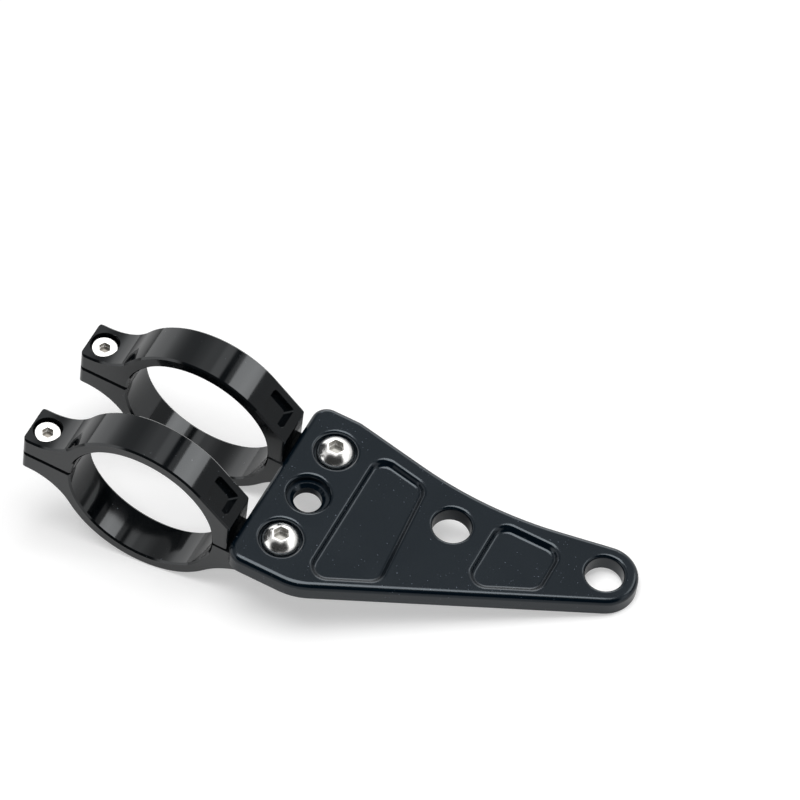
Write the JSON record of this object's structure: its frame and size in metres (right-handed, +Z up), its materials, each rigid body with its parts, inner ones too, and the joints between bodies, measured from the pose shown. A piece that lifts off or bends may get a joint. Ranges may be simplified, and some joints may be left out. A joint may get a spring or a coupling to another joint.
{
  "type": "headlight mounting bracket",
  "caption": "Headlight bracket: a tapered milled plate with sunk fields and a lamp bolt hole, screwed to split ring clamps that grip a fork tube.",
  "frame": {"origin": "on the fork axis, midway between the clamps", "axes": "+Y along the fork axis, +X towards the lamp end, +Z up when the bracket lies on a flat surface on its rings and its lamp end"},
  "size_m": [0.1628, 0.056, 0.0504],
  "materials": {
    "plate_black": "satin black anodised",
    "clamp_black": "gloss black anodised",
    "screw_steel": "polished stainless"
  },
  "bodies": {
    "root": {"mounting_plate": "plate_black", "front_clamp_base": "clamp_black", "front_clamp_cap": "clamp_black", "front_plate_screw": "screw_steel", "front_pinch_screw": "screw_steel", "rear_clamp_base": "clamp_black", "rear_clamp_cap": "clamp_black", "rear_plate_screw": "screw_steel", "rear_pinch_screw": "screw_steel"}
  },
  "joints": []
}
